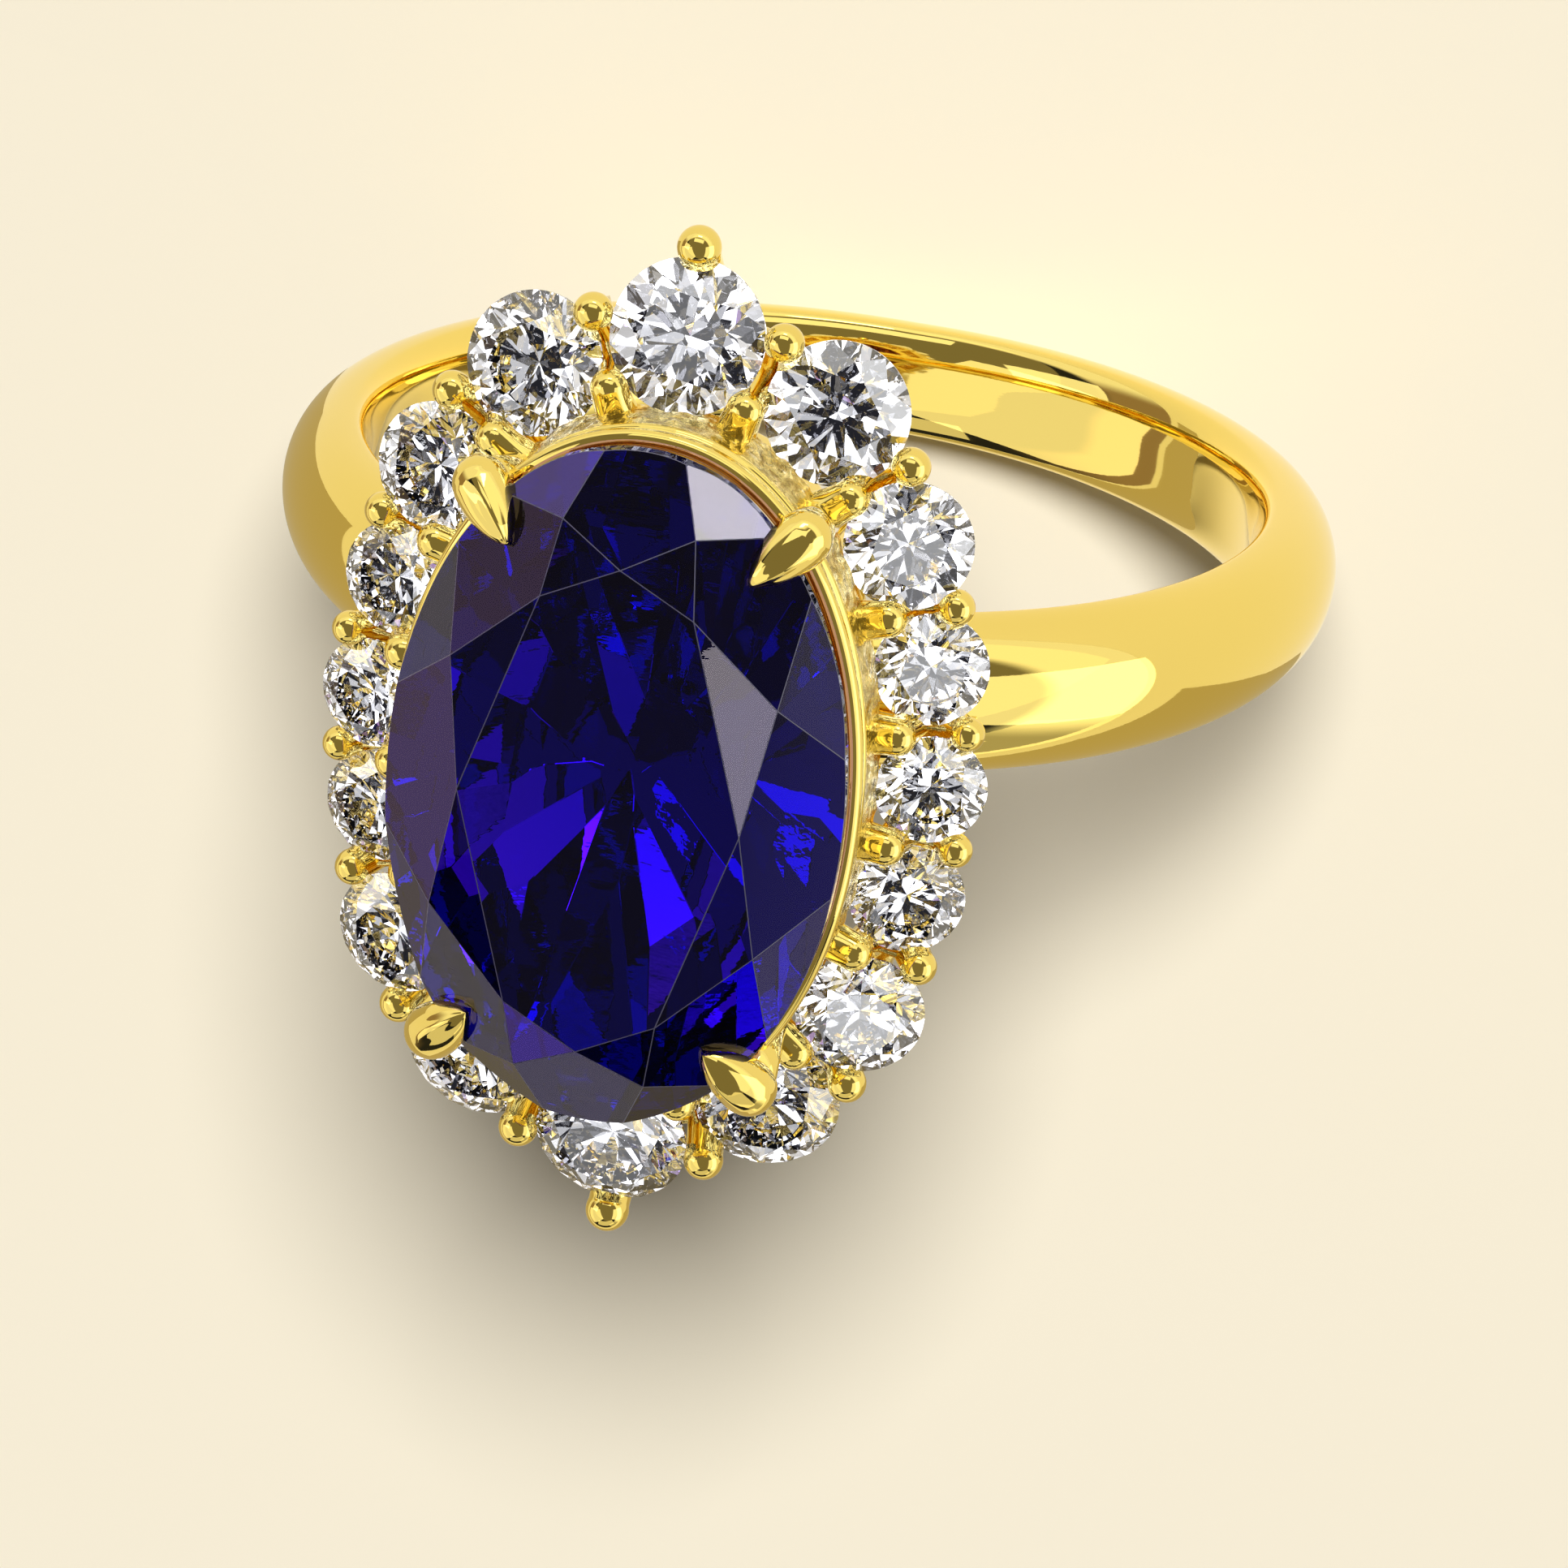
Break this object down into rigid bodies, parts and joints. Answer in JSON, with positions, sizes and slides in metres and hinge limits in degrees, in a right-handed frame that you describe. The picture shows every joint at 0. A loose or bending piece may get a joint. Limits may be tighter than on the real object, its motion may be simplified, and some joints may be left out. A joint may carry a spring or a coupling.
{
  "type": "engagement ring",
  "caption": "Finger ring in yellow gold with a large oval blue centre stone in four pointed claws, inside an oval halo of round white stones held by shared prongs.",
  "frame": {"origin": "centre of the finger bore", "axes": "+Y along the finger bore and the length of the oval head, +Z from the finger to the centre stone, +X across the finger"},
  "size_m": [0.0196, 0.019, 0.026],
  "materials": {
    "polished_gold": "mirror-polished 18 carat yellow gold",
    "cast_gold": "18 carat yellow gold, polished over a fine cast grain",
    "blue_stone": "faceted and polished dark blue gemstone",
    "white_stone": "faceted and polished colourless gemstone"
  },
  "bodies": {
    "root": {"base_gallery": "cast_gold", "centre_stone": "blue_stone", "claw_01": "polished_gold", "claw_02": "polished_gold", "claw_03": "polished_gold", "claw_04": "polished_gold", "collet": "cast_gold", "diamond_01": "white_stone", "diamond_02": "white_stone", "diamond_03": "white_stone", "diamond_04": "white_stone", "diamond_05": "white_stone", "diamond_06": "white_stone", "diamond_07": "white_stone", "diamond_08": "white_stone", "diamond_09": "white_stone", "diamond_10": "white_stone", "diamond_11": "white_stone", "diamond_12": "white_stone", "diamond_13": "white_stone", "diamond_14": "white_stone", "diamond_15": "white_stone", "diamond_16": "white_stone", "halo_rail": "cast_gold", "inner_prong_01": "polished_gold", "inner_prong_02": "polished_gold", "inner_prong_03": "polished_gold", "inner_prong_04": "polished_gold", "inner_prong_05": "polished_gold", "inner_prong_06": "polished_gold", "inner_prong_07": "polished_gold", "inner_prong_08": "polished_gold", "inner_prong_09": "polished_gold", "inner_prong_10": "polished_gold", "inner_prong_11": "polished_gold", "inner_prong_12": "polished_gold", "inner_prong_13": "polished_gold", "inner_prong_14": "polished_gold", "inner_prong_15": "polished_gold", "inner_prong_16": "polished_gold", "outer_prong_01": "polished_gold", "outer_prong_02": "polished_gold", "outer_prong_03": "polished_gold", "outer_prong_04": "polished_gold", "outer_prong_05": "polished_gold", "outer_prong_06": "polished_gold", "outer_prong_07": "polished_gold", "outer_prong_08": "polished_gold", "outer_prong_09": "polished_gold", "outer_prong_10": "polished_gold", "outer_prong_11": "polished_gold", "outer_prong_12": "polished_gold", "outer_prong_13": "polished_gold", "outer_prong_14": "polished_gold", "outer_prong_15": "polished_gold", "outer_prong_16": "polished_gold", "outer_prong_17": "polished_gold", "outer_prong_18": "polished_gold", "shank": "polished_gold"}
  },
  "joints": []
}
